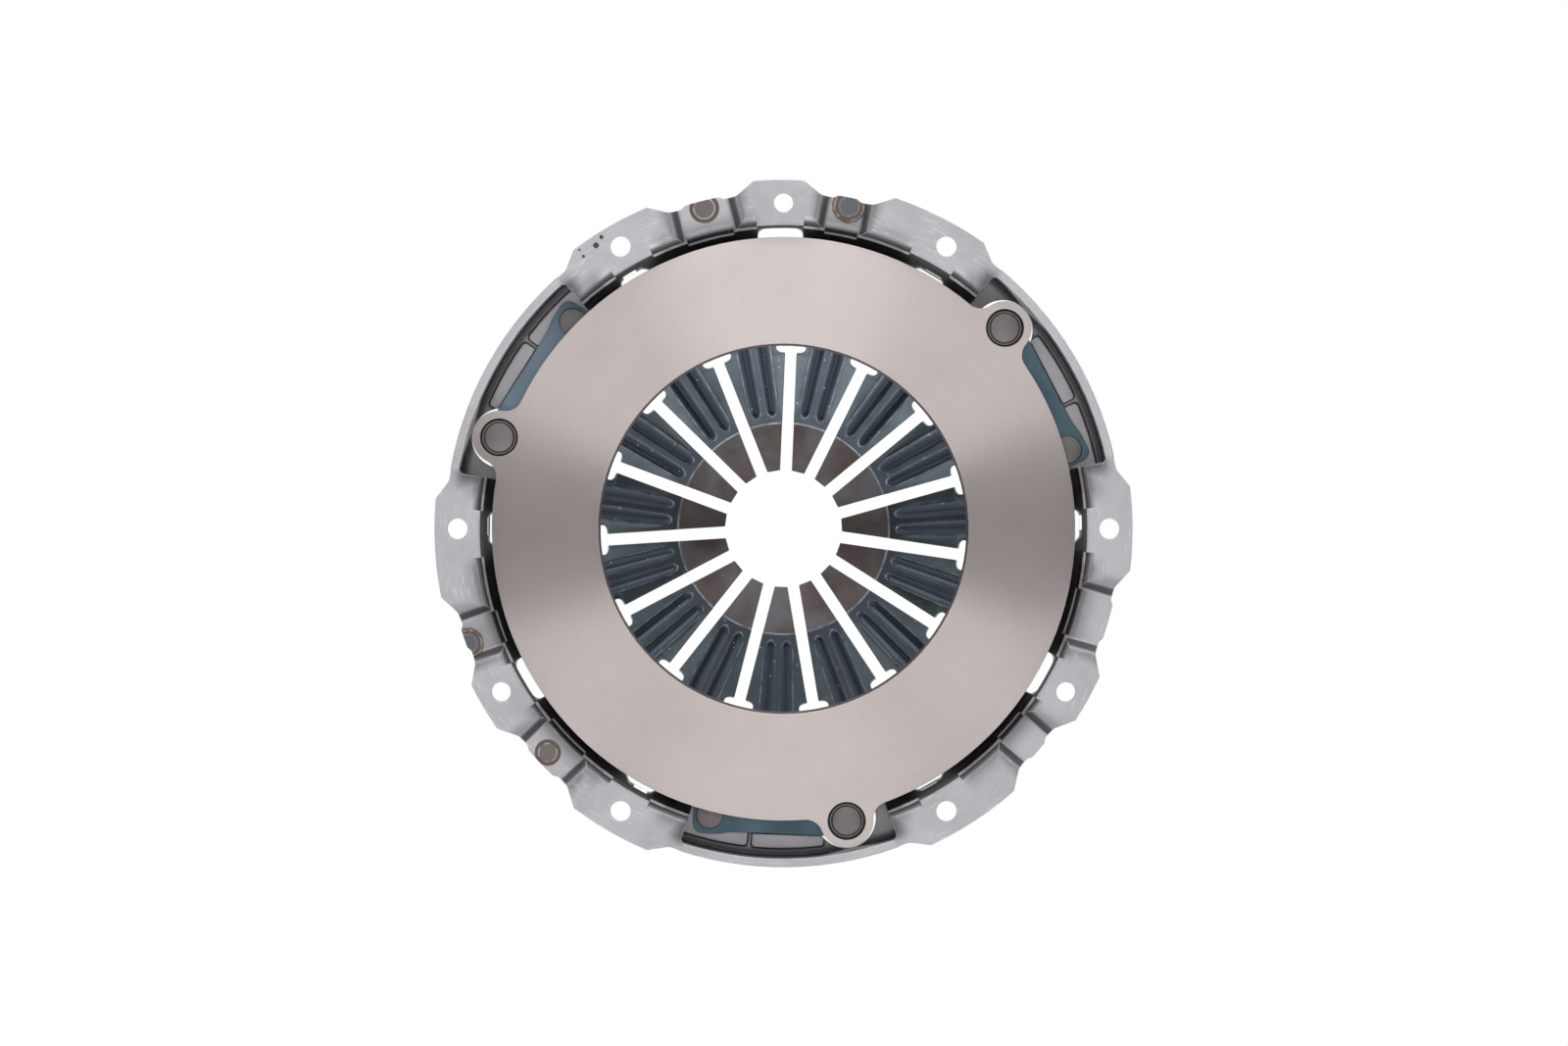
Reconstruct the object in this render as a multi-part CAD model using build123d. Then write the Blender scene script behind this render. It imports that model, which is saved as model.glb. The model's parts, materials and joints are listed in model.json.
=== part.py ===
from build123d import *
import os
from math import atan2, cos, degrees, radians, sin, sqrt, tan

# Diaphragm-spring clutch cover assembly, in millimetres.
# The axis is Y. Y = 0 is the plane that bolts to the flywheel, and +Y points away from it,
# so every "depth" below is a Y value. Angles run from +X towards +Z.

# ---- three-fold layout ----
sides = 3                    # pads, strap pockets and lugs repeat this many times
group_angle = 90.0           # middle of the first group of flange pads
pocket_angle = 31.0          # middle of the first strap pocket
pocket_half = 20.8           # half the angle a strap pocket takes

# ---- pressure plate ----
plate_r = 121.1
face_width = 44.7            # of the ground friction face
face_depth = 5.0             # the friction face stands this far inside the flange plane
rim_thick = 6.0
body_step = 9.6              # the thick body stops this far inside the edge
body_thick = 13.0
ridge_in = 4.0               # from the body's edge to the ridge that the spring presses
ridge_top = 3.0              # width of the ridge's crest
ridge_flank = 1.7
ridge_gap = 12.0             # width of the air gaps across the ridge
edge_chamfer = 0.6
travel = 4.0                 # lift of the pressure plate
run_gap = 0.3                # between pieces that move against each other

# ---- cover: flange ----
sheet = 3.6                  # thickness of the pressed steel
rim_clear = 4.7              # round the edge of the pressure plate
bolt_inset = 9.2             # from the mouth of the bowl to the bolt circle
bolt_hole = 8.5
bolt_spread = 30.0           # angle between neighbouring fixing holes in a group
dowel_hole = 8.0
pad_margin = 9.5             # from the bolt circle to the edge of the pads
pad_lean = 3.0               # angle that the side of a pad leans by
scallop_deep = 5.4           # the edge between the pads lies this far further in
scallop_round = 4.5
tongue_out = 1.1             # a pressed-back stretch reaches out past its scallop
tongue_lean = 1.6
recess_depth = 5.0           # how far the flange is pressed back between the pads
recess_slope = 3.2           # run of each pressed side
recess_floors = ((-11.0, 7.4), (14.0, 10.7))    # angle from the group's middle, half width
floor_bend = 2.4             # bend radii on the front of a pressed stretch
foot_bend = 5.2

# ---- cover: bowl ----
wall_taper = 3.8
wall_depth = 20.0
shoulder_clear = 1.5         # the shoulder meets the roof this far outside the spring
mouth_round = 4.6            # rounding from flange to wall
bend_r = 5.0                 # inner bend radius of the bowl
roof_clear = 2.1             # the hole in the roof is this much larger than the plate's
window_round = 2.6
window_top = 5.2             # depth where a window starts under the flange
window_middle = (-3.8, 5.0)  # angles of the windows from the group's middle
window_early = (-33.4, -24.6)
window_late = (25.6, 33.8)
window_slant = 3.0           # angle that a slanted end takes
slant_deep = 4.2

# ---- cover: strap pockets ----
pocket_lip = 1.5             # the pocket's rim below the flange plane
pocket_round = 2.0
ledge_gap = 2.6              # trough between the raised floor and the outer wall
seat_height = 2.0            # raised rivet seat on the pocket floor
seat_turn = 8.0              # angle from the rivet to the end of its seat
ledge_height = 3.0           # raised ledge beside the strap
ledge_gap_angle = 0.5        # between seat and ledge
ledge_stop = 4.7             # the ledge ends this angle before the lug's centre
ledge_clear = 0.4
pad_edge = 0.9               # rounding of the raised edges

# ---- lugs on the plate ----
lug_inset = 9.6              # angle from the end of the pocket to the lug
lug_out = 3.0                # centre of the ear outside the plate's edge
lug_ear = 11.1
lug_blend = 7.0
lug_thick = 8.0
lug_clear = 1.4              # round a lug, to the pocket wall and the hole in its floor

# ---- drive straps ----
leaves = 3
leaf = 0.8
strap_rise = 2.6             # bend between the two ends at rest
strap_waist = 14.0
strap_eye = 15.6
strap_corner = 4.0
strap_inset = 5.3            # angle from the end of the pocket to the rivet in the cover
strap_out = 2.2              # that rivet outside the plate's edge

# ---- rivets ----
cover_rivet_head = 11.5
cover_rivet_high = 2.2
cover_rivet_shank = 6.0
lug_rivet_head = 12.1
lug_rivet_high = 2.6
lug_rivet_tail = 12.6
lug_rivet_shank = 8.0
counterbore = 15.8
rivet_sink = 1.0             # the lug rivet's face below the friction face
tail_high = 2.2
rivet_edge = 0.7             # chamfer round a head
slip = 0.05                  # round a shank, and between parts clamped together

# ---- diaphragm spring ----
fingers = 15
finger_angle = 3.6           # middle of the first finger
spring_thick = 2.7
spring_over = 3.5            # the spring's edge outside the ridge
cone_angle = 13.0
finger_slope = 17.0
root_out = 3.6               # a finger's slope starts this far outside the plate's bore
tip_bend_r = 44.6
tip_slope = 3.5
tip_r = 24.8
slot = 5.0
eye_inset = 3.0              # the wide eye of a slot starts this far inside the bore
eye_width = 12.7
eye_round = 3.0
rib_half = 1.45              # half the flat rib left between two pressed grooves
groove_root_half = 6.0
groove_tip_half = 4.8
groove_stop = 3.9            # the grooves end this far outside the tip's bend
groove_deep = 0.8
groove_taper = 45.0
groove_round = 1.3

# ---- pivot ----
pivot_arm = 16.5             # from the ridge in to the pivot rings
wire = 4.0
pivot_gap = 0.45
hinge_inset = 1.0            # the line a flat sector turns about lies inside the wire
pivot_rivet_shank = 5.4
pivot_rivet_head = 11.0
pivot_rivet_high = 3.0
pivot_tail_head = 10.0
head_room = 1.3              # from the lifted plate to the rivet heads

# ---- balance rivets, nearly flush on the flange's front ----
balance_spots = ((103.9, 2.0, 12.4), (223.5, -0.1, 10.9))    # angle, out from the bolts, head
balance_proud = 0.35
balance_high = 1.6
balance_shank = 4.5

# ---- angles that follow, from the middle of a pocket ----
lug_angle = pocket_half - lug_inset
strap_angle = strap_inset - pocket_half
seat_span = (1.0 - pocket_half, strap_angle + seat_turn)
ledge_span = (seat_span[1] + ledge_gap_angle, lug_angle - ledge_stop)

# ---- radii that follow ----
bore_r = plate_r - face_width
groove_end_r = tip_bend_r + groove_stop
mouth_r = plate_r + rim_clear
wall_end_r = mouth_r - wall_taper
bolt_r = mouth_r + bolt_inset
pad_r = bolt_r + pad_margin
scallop_r = pad_r - scallop_deep
tongue_r = scallop_r + tongue_out
body_r = plate_r - body_step
ridge_r = body_r - ridge_in
spring_rim_r = ridge_r + spring_over
shoulder_r = spring_rim_r + shoulder_clear
window_in_r = shoulder_r + 1
roof_hole_r = bore_r + roof_clear
pivot_r = ridge_r - pivot_arm
rivet_ring_r = pivot_r - wire / 2 - run_gap - pivot_rivet_shank / 2
eye_in_r = bore_r - eye_inset
eye_out_r = rivet_ring_r + pivot_rivet_shank / 2 + 2 * run_gap
finger_root_r = bore_r + root_out
lug_r = plate_r + lug_out
strap_r = plate_r + strap_out
pocket_in_r = lug_r + lug_ear + lug_clear
pocket_out_r = pocket_in_r + sheet
ledge_r = pocket_in_r - ledge_gap
step_r = strap_r - cover_rivet_shank / 2 - sheet
step_out_r = step_r + sheet

# ---- depths that follow ----
body_back = face_depth + body_thick
lug_back = face_depth + lug_thick
pack = leaves * leaf
pack_lug = lug_back + slip
pack_seat = pack_lug + strap_rise
seat_depth = pack_seat + pack
floor_depth = seat_depth + seat_height
head_depth = body_back + travel + head_room
front_wire = head_depth + pivot_rivet_high + slip + wire / 2
spring_half = spring_thick / 2 / cos(radians(cone_angle))
pivot_depth = front_wire + wire / 2 + pivot_gap + spring_half
rear_wire = pivot_depth + spring_half + pivot_gap + wire / 2
roof_depth = rear_wire + wire / 2 + slip
roof_back = roof_depth + sheet

pitch = 360 / sides
slot_pitch = 360 / fingers
half_pitch = slot_pitch / 2
lap = 0.4                    # one form reaches this far into the next
graze = 0.02                 # keeps a cutter off a face that it would only graze


def polar(r, angle):
    return (r * cos(radians(angle)), r * sin(radians(angle)))


def arc_angle(length, r):
    return degrees(length / r)


def turn(shape, angle):
    """Turn about the clutch axis, from +X towards +Z."""
    return Rot(0, -angle, 0) * shape


def around(shape, count, first=0.0):
    return [turn(shape, first + 360 / count * k) for k in range(count)]


def slab(sketch, front, back):
    """Raise a sketch drawn in X and Z between two depths."""
    return extrude(Plane.XZ.offset(-back) * sketch, back - front)


def round_slab(radius, x, z, front, back):
    return slab(Pos(x, z) * Circle(radius), front, back)


def spin(points, angle=360.0):
    """Turn a section, given as (radius, depth) points, about the axis."""
    return revolve(make_face(Polyline(*points, close=True)), Axis.Y, angle)


def ring_part(r0, r1, a0, a1, lean=0.0):
    """Part of a ring in plan, with sides that lean outwards by an angle."""
    edges = [
        CenterArc((0, 0), r1, a0 - lean, a1 - a0 + 2 * lean),
        Line(polar(r1, a1 + lean), polar(r0, a1)),
        CenterArc((0, 0), r0, a0, a1 - a0),
        Line(polar(r0, a0), polar(r1, a0 - lean)),
    ]
    return make_face(edges)


def corners_between(face, r_from, r_to):
    return [v for v in face.vertices() if r_from < sqrt(v.X**2 + v.Y**2) < r_to]


def fuse(base, shapes):
    for shape in shapes:
        base = base + shape
    return base


def cut(base, shapes):
    for shape in shapes:
        base = base - shape
    return base


# ---- cover: outline of the flange ----
def scallop(r_in, a0, a1):
    """Cutter for the flange edge between two pads."""
    far = pad_r + scallop_round
    face = ring_part(r_in, far, a0, a1, pad_lean * (far - r_in) / (pad_r - r_in))
    return fillet(corners_between(face, 0, r_in + 0.1), scallop_round)


def flange_outline():
    plan = Circle(pad_r)
    for k in range(sides):
        middle = group_angle + pitch * k
        for angle, half in recess_floors:
            wide = arc_angle(half + recess_slope, bolt_r)
            floor = arc_angle(half, bolt_r)
            at = middle + angle
            plan -= scallop(scallop_r, at - wide, at + wide)
            plan += ring_part(scallop_r - 1, tongue_r, at - floor, at + floor, -tongue_lean)
        hollow = pocket_angle + pitch * k
        plan -= scallop(pocket_out_r - lap, hollow - pocket_half, hollow + pocket_half)
    return plan


# ---- cover: stretches of flange pressed back between the pads ----
press_angle = atan2(recess_depth, recess_slope)


def pressing(half, front, back, foot, floor):
    """Prism of a pressed-back stretch of flange, seen along the radius, with rounded bends."""
    top = half + recess_slope
    wide = top + foot
    points = [(front - 1, wide), (front, wide), (front, top), (back, half)]
    mirrored = [(depth, -side) for depth, side in reversed(points)]
    face = make_face(Polyline(*points, *mirrored, close=True))
    face = fillet([v for v in face.vertices() if v.X > back - 0.1], floor)
    face = fillet([v for v in face.vertices() if abs(abs(v.Y) - top) < 0.1 and v.X < front + 0.1], foot)
    return extrude(Plane.YZ.offset(bore_r) * face, pad_r)


def pressed_front(half):
    return pressing(half, -graze, recess_depth, foot_bend, floor_bend)


def pressed_back(half):
    grow = sheet * tan(press_angle / 2)
    back = sheet + recess_depth
    return pressing(half + grow, sheet - graze, back, foot_bend - sheet, floor_bend + sheet)


# ---- cover: bowl, everything inside its outer skin less everything inside its inner skin ----
slope_len = sqrt((wall_end_r - shoulder_r) ** 2 + (roof_depth - wall_depth) ** 2)
slope_out = sheet * (roof_depth - wall_depth) / slope_len
slope_down = sheet * (wall_end_r - shoulder_r) / slope_len


def bowl(points):
    section = make_face(Polyline(*points, close=True))
    bends = [v for v in section.vertices() if v.X > bore_r and v.Y > 1]
    return revolve(fillet(bends, bend_r), Axis.Y)


bowl_out = bowl([
    (0, 0),
    (mouth_r + sheet, 0),
    (wall_end_r + sheet, wall_depth + slope_down / 2),
    (shoulder_r + slope_out / 2, roof_back),
    (0, roof_back),
])
bowl_in = bowl([
    (0, -1),
    (mouth_r, -1),
    (mouth_r, 0),
    (wall_end_r, wall_depth),
    (shoulder_r, roof_depth),
    (0, roof_depth),
])


def rolled_edge(depth):
    """Cutter that rounds the corner where flange turns into wall."""
    r = mouth_r - wall_taper * depth / wall_depth
    corner = Pos(r + mouth_round / 2 - 1, depth + mouth_round / 2 - 1)
    corner *= Rectangle(mouth_round + 2, mouth_round + 2)
    return revolve(corner - Pos(r + mouth_round, depth + mouth_round) * Circle(mouth_round), Axis.Y)


def wedge(a0, a1, front, back):
    return slab(ring_part(bore_r, pad_r, a0, a1), front, back)


# ---- cover: strap pockets ----
wall_angle = arc_angle(sheet, pocket_in_r)
low, high = pocket_angle - pocket_half, pocket_angle + pocket_half
seat_x, seat_z = polar(strap_r, pocket_angle + strap_angle)
lug_x, lug_z = polar(lug_r, pocket_angle + lug_angle)
free = sqrt((lug_x - seat_x) ** 2 + (lug_z - seat_z) ** 2)
chord = Plane(
    origin=(seat_x, 0, seat_z),
    x_dir=(lug_x - seat_x, 0, lug_z - seat_z),
    z_dir=(0, -1, 0),
)


def pocket(r_out, shrink, corner, front, back):
    face = ring_part(bore_r, r_out, low + shrink, high - shrink)
    return slab(fillet(corners_between(face, r_out - 0.1, r_out + 0.1), corner), front, back)


def raised_floor(span, r_in, height):
    """Flat step on the pocket floor, with rounded edges round its top."""
    plan = ring_part(r_in, ledge_r, pocket_angle + span[0], pocket_angle + span[1])
    plan = fillet(corners_between(plan, ledge_r - 0.1, ledge_r + 0.1), pocket_round)
    block = slab(plan, floor_depth - height, floor_depth + lap)
    top = block.faces().sort_by(Axis.Y)[0]
    return fillet(top.edges(), pad_edge)


# ---- cover: windows ----
def window(span, sink=0.0, slant_start=0.0, slant_end=0.0):
    """Opening through wall and shoulder, from a depth where the wall has drawn in by sink."""
    a0, a1 = group_angle + span[0], group_angle + span[1]
    edge = mouth_r - sink
    points = [(window_in_r, a0)]
    if slant_start:
        points.append((edge - slant_deep, a0))
    points.append((edge, a0 + slant_start))
    points.append((edge, a1 - slant_end))
    if slant_end:
        points.append((edge - slant_deep, a1))
    points.append((window_in_r, a1))
    plan = make_face(Polyline(*[polar(r, a) for r, a in points], close=True))
    opening = slab(fillet(plan.vertices(), window_round), window_top, roof_back + 1)
    inset = arc_angle(window_round, edge)
    start = max(window_top, sink / wall_taper * wall_depth)
    behind = ring_part(edge - 2, pocket_out_r, a0 + slant_start + inset, a1 - slant_end - inset)
    return opening + slab(behind, start, wall_depth + sheet)


windows = [
    window(window_middle),
    window(window_early, 2.4, slant_end=window_slant),
    window(window_late, 1.7, slant_start=window_slant),
]


def make_cover():
    outer = slab(Circle(pad_r), 0, sheet)
    for angle, half in recess_floors:
        outer = fuse(outer, around(pressed_back(half), sides, group_angle + angle))
    outer = outer & slab(flange_outline(), -1, sheet + recess_depth + 1)
    outer = outer + bowl_out
    outer = fuse(outer, around(
        pocket(pocket_out_r, 0, pocket_round + sheet, pocket_lip, floor_depth + sheet), sides
    ))
    under = slab(ring_part(step_out_r, pocket_out_r + 5, low, high), floor_depth + sheet, roof_back)
    outer = cut(outer, around(under, sides))

    inner = fuse(bowl_in, around(pocket(pocket_in_r, wall_angle, pocket_round, -1, floor_depth), sides))
    shelf_plan = ring_part(step_r, mouth_r + sheet, low - wall_angle, high + wall_angle)
    inner = cut(inner, around(slab(shelf_plan, floor_depth, roof_depth), sides))
    shell = outer - inner

    roll = rolled_edge(0)
    for span in (window_middle, window_early, window_late):
        flat = wedge(group_angle + span[0], group_angle + span[1], -2, mouth_round + 1)
        roll = cut(roll, around(flat, sides))
    shell = shell - roll
    for angle, half in recess_floors:
        floor = arc_angle(half, bolt_r)
        deep_roll = rolled_edge(recess_depth - graze) & wedge(-floor, floor, 0, recess_depth + mouth_round)
        shell = cut(shell, around(pressed_front(half), sides, group_angle + angle))
        shell = cut(shell, around(deep_roll, sides, group_angle + angle))

    seat = raised_floor(seat_span, step_r, seat_height)
    beside = Pos(free / 2, 0) * Rectangle(free, strap_waist + 2 * ledge_clear)
    ledge = raised_floor(ledge_span, strap_r, ledge_height)
    ledge -= extrude(chord.offset(-roof_back) * beside, roof_back)
    shell = fuse(shell, around(seat, sides) + around(ledge, sides))

    dimple_r = cover_rivet_head / 2 + 1.5
    rivet_hole = cover_rivet_shank / 2 + slip
    cutters = windows + [
        round_slab(lug_ear + lug_clear, lug_x, lug_z, pocket_lip, floor_depth + sheet + 1),
        round_slab(dimple_r, seat_x, seat_z, seat_depth + sheet, floor_depth + sheet + 1),
        round_slab(rivet_hole, seat_x, seat_z, seat_depth - 1, roof_back),
        round_slab(dowel_hole / 2, *polar(bolt_r, group_angle), -1, sheet + 1),
    ]
    for side in (-bolt_spread, bolt_spread):
        cutters.append(round_slab(bolt_hole / 2, *polar(bolt_r, group_angle + side), -1, sheet + 1))
    for tool in cutters:
        shell = cut(shell, around(tool, sides))

    pivot_hole = round_slab(pivot_rivet_shank / 2 + slip, rivet_ring_r, 0, roof_depth - 1, roof_back + 1)
    shell = cut(shell, around(pivot_hole, fingers, finger_angle + half_pitch))
    for angle, out, head in balance_spots:
        spot = polar(bolt_r + out, angle)
        shell -= round_slab(balance_shank / 2 + slip, *spot, recess_depth - 1, recess_depth + sheet + 1)
    return shell - round_slab(roof_hole_r, 0, 0, roof_depth - 2, roof_back + 1)


# ---- diaphragm spring, one flat-edged sector for each finger ----
slope_rim = tan(radians(cone_angle))
slope_finger = tan(radians(finger_slope))
slope_tip = tan(radians(tip_slope))
root_depth = pivot_depth + (pivot_r - finger_root_r) * slope_rim
bend_depth = root_depth + (finger_root_r - tip_bend_r) * slope_finger
rise = spring_thick / 2


def groove(side, surface, sink):
    """One of the two grooves pressed along a finger, drawn on its slope."""
    lean = radians(finger_slope)
    plane = Plane(
        origin=(finger_root_r, root_depth + surface, 0),
        x_dir=(-cos(lean), sin(lean), 0),
        z_dir=(sin(lean), cos(lean), 0),
    )
    end = (finger_root_r - groove_end_r) / cos(lean)
    start = root_out / 2
    plan = make_face(Polyline(
        (start, side * rib_half),
        (start, side * groove_root_half),
        (end, side * groove_tip_half),
        (end, side * rib_half),
        close=True,
    ))
    plan = fillet(plan.vertices(), groove_round)
    return extrude(plane.offset(-sink) * plan, groove_deep + sink, taper=groove_taper)


def make_sector():
    middle = [
        (spring_rim_r, pivot_depth - (spring_rim_r - pivot_r) * slope_rim),
        (finger_root_r, root_depth),
        (tip_bend_r, bend_depth),
        (tip_r, bend_depth + (tip_bend_r - tip_r) * slope_tip),
    ]
    section = [(r, d - rise) for r, d in middle] + [(r, d + rise) for r, d in reversed(middle)]
    sector = turn(spin(section, slot_pitch), half_pitch)
    eye_middle = (eye_in_r + eye_out_r) / 2
    slit = 2 * (spring_rim_r - eye_out_r + 1)
    outlines = [
        Pos((eye_in_r + 1) / 2, 0) * Rectangle(eye_in_r + 1, slot),
        Pos(eye_middle, 0) * RectangleRounded(eye_out_r - eye_in_r, eye_width, eye_round),
        Pos(spring_rim_r, 0) * Rectangle(slit, run_gap),
    ]
    for side in (-half_pitch, half_pitch):
        sector = cut(sector, [turn(slab(plan, 0, 2 * roof_back), side) for plan in outlines])
    for side in (-1, 1):
        sector = sector + groove(side, rise, lap)
        sector = sector - groove(side, -rise, graze)
    return sector


# ---- rivets ----
def rivet(x, z, head, head_front, grip_front, shank, grip_back, tail, tail_back, edge=rivet_edge):
    body = round_slab(head / 2, x, z, head_front, grip_front)
    body += round_slab(shank / 2, x, z, grip_front - graze, grip_back + graze)
    body += round_slab(tail / 2, x, z, grip_back, tail_back)
    rims = [
        e for e in body.edges().filter_by(GeomType.CIRCLE)
        if abs(e.center().Y - head_front) < 0.01 or abs(e.center().Y - tail_back) < 0.01
    ]
    return chamfer(rims, edge)


# ---- pressure plate ----
def make_ridge():
    crest = pivot_depth - (ridge_r + ridge_top / 2 - pivot_r) * slope_rim - spring_half - run_gap
    ring = spin([
        (ridge_r - ridge_top / 2 - ridge_flank, body_back - 0.5),
        (ridge_r + ridge_top / 2 + ridge_flank, body_back - 0.5),
        (ridge_r + ridge_top / 2, crest),
        (ridge_r - ridge_top / 2, crest),
    ])
    air_gap = slab(Pos(ridge_r, 0) * Rectangle(5 * ridge_top, ridge_gap), body_back + 1, crest + 1)
    return cut(ring, around(air_gap, fingers, finger_angle + half_pitch))


def make_plate():
    plan = Circle(plate_r)
    for k in range(sides):
        plan += Pos(*polar(lug_r, pocket_angle + lug_angle + pitch * k)) * Circle(lug_ear)
    plan = fillet(plan.vertices(), lug_blend)
    plate = slab(plan - Circle(bore_r), face_depth, face_depth + rim_thick)
    plate += spin([
        (bore_r, face_depth),
        (body_r, face_depth),
        (body_r, body_back),
        (bore_r + 2, body_back),
        (bore_r, body_back - 2),
    ])
    plate += make_ridge()
    bosses = around(round_slab(lug_ear - lap, lug_x, lug_z, face_depth + lap, lug_back), sides)
    plate = fuse(plate, bosses)
    head_bottom = face_depth + rivet_sink + lug_rivet_high
    swept_head = pack_seat - cover_rivet_high - travel - 2 * run_gap
    cutters = [
        round_slab(counterbore / 2, lug_x, lug_z, face_depth - 1, head_bottom),
        round_slab(lug_rivet_shank / 2 + slip, lug_x, lug_z, face_depth, lug_back + 1),
        round_slab(cover_rivet_head / 2 + 1, seat_x, seat_z, swept_head, face_depth + rim_thick + 0.1),
    ]
    for tool in cutters:
        plate = cut(plate, around(tool, sides))
    bore_edge = [
        e for e in plate.edges().filter_by(GeomType.CIRCLE)
        if abs(e.center().Y - face_depth) < 0.01 and abs(e.radius - bore_r) < 0.01
    ]
    return chamfer(bore_edge, edge_chamfer)


# ---- drive straps ----
reach = strap_eye / 2 - 1
seat_run = strap_r * radians(seat_span[1] - strap_angle) + 0.5    # the leaf lies flat up to here
lug_run = lug_ear + 1


def strap_plan():
    plan = Pos(free / 2, 0) * Rectangle(free, strap_waist)
    for end, shank in ((0, cover_rivet_shank), (free, lug_rivet_shank)):
        plan += Pos(end, 0) * RectangleRounded(2 * reach, strap_eye, strap_corner)
        plan -= Pos(end, 0) * Circle(shank / 2 + slip)
    return plan


def strap_leaf(index):
    """One leaf, on the seat at one end and behind the lug at the other."""
    seat_front = pack_seat + index * leaf
    lug_front = pack_lug + index * leaf
    path = [
        (-reach - 1, seat_front),
        (seat_run, seat_front),
        (free - lug_run, lug_front),
        (free + reach + 1, lug_front),
    ]
    side = make_face(Polyline(*path, *[(s, d + leaf) for s, d in reversed(path)], close=True))
    up = Plane(origin=chord.origin, x_dir=chord.x_dir, z_dir=chord.x_dir.cross(Vector(0, 1, 0)))
    ribbon = extrude(up * side, strap_eye, both=True)
    return ribbon & extrude(chord.offset(-roof_back) * strap_plan(), roof_back)


# ---- nodes ----
front_ring = Pos(0, front_wire, 0) * Rot(90, 0, 0) * Torus(pivot_r, wire / 2)
rear_ring = Pos(0, rear_wire, 0) * Rot(90, 0, 0) * Torus(pivot_r, wire / 2)
pivot_rivet = rivet(
    rivet_ring_r, 0, pivot_rivet_head, head_depth, head_depth + pivot_rivet_high,
    pivot_rivet_shank, roof_back, pivot_tail_head, roof_back + pivot_rivet_high,
)
cover_rivet = rivet(
    seat_x, seat_z, cover_rivet_head, pack_seat - cover_rivet_high, pack_seat,
    cover_rivet_shank, seat_depth + sheet, cover_rivet_head, seat_depth + sheet + tail_high,
)
lug_rivet = rivet(
    lug_x, lug_z, lug_rivet_head, face_depth + rivet_sink, face_depth + rivet_sink + lug_rivet_high,
    lug_rivet_shank, pack_lug + pack + slip, lug_rivet_tail, pack_lug + pack + slip + tail_high,
)
flange_edge = round_slab(tongue_r, 0, 0, 0, roof_back)
balance_rivets = [
    flange_edge & rivet(
        *polar(bolt_r + out, angle), head, recess_depth - balance_proud, recess_depth,
        balance_shank, recess_depth + sheet, head, recess_depth + sheet + balance_high,
        edge=balance_proud / 2,
    )
    for angle, out, head in balance_spots
]
nodes = {
    "cover": make_cover(),
    "pressure_plate": make_plate(),
    "front_pivot_ring": front_ring,
    "rear_pivot_ring": rear_ring,
    "pivot_rivets": Compound(children=around(pivot_rivet, fingers, finger_angle + half_pitch)),
    "strap_cover_rivets": Compound(children=around(cover_rivet, sides)),
    "strap_lug_rivets": Compound(children=around(lug_rivet, sides)),
    "balance_rivets": Compound(children=balance_rivets),
}
sector = make_sector()
for k in range(fingers):
    nodes[f"spring_finger_{k + 1:02d}"] = turn(sector, finger_angle + slot_pitch * k)
for k in range(sides):
    for index in range(leaves):
        nodes[f"drive_strap_{k + 1}_leaf_{index + 1}"] = turn(strap_leaf(index), pitch * k)

os.makedirs("parts", exist_ok=True)
for name, shape in nodes.items():
    export_step(shape, f"parts/{name}.step")
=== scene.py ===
# %% [markdown]
# # A diaphragm-spring clutch cover assembly
# The clutch axis is Y. Y = 0 is the plane that bolts to the flywheel and +Y points away from it,
# so a depth is a Y value. Angles run from +X towards +Z. The scene is in metres, and sizes are
# written in millimetres and multiplied by MM. The packed model comes first: it fixes where every
# body and joint is, so that everything made here has something true to fit.

# %% Load the packed clutch
import bpy
import json
from math import cos, pi, radians, sin, tan
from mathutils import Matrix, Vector


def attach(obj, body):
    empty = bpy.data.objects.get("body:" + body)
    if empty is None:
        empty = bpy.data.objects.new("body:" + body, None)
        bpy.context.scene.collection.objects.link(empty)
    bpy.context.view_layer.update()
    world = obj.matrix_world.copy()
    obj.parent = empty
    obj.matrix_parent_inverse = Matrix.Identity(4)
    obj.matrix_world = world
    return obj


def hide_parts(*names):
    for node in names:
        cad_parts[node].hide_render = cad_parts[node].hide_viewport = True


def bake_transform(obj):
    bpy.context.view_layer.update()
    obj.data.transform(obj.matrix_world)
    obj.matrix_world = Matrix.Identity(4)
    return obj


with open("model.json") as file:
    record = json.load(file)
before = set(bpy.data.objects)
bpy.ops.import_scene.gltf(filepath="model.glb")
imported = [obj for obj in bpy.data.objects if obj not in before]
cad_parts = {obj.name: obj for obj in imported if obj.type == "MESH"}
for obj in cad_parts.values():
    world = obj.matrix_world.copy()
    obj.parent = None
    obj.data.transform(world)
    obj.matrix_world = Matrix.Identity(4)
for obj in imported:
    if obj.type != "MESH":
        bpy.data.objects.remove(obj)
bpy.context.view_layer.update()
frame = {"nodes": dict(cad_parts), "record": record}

MM = 0.001
ROOT, PLATE = "cover_body", "pressure_plate_body"


def polar(r, angle, depth=0.0):
    """A place from its radius, angle and depth, all in millimetres and degrees."""
    a = radians(angle)
    return Vector((r * cos(a) * MM, depth * MM, r * sin(a) * MM))


# %% [markdown]
# ## Numbers that live in node trees
# Finish and shape both follow rules here, such as "darker near the bend". Math nodes could be
# placed and wired one by one, but the rule is then hard to read. A `Value` wraps an output socket,
# so that a plain sum or product in Python adds the Math node. Shader trees and geometry trees use
# the same Math node, so one class serves both.

# %% A socket that can be added and multiplied
def math_method(operation):
    """A method that adds one Math node with this operation."""
    def method(self, *others):
        return self.math(operation, *others)
    return method


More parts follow.
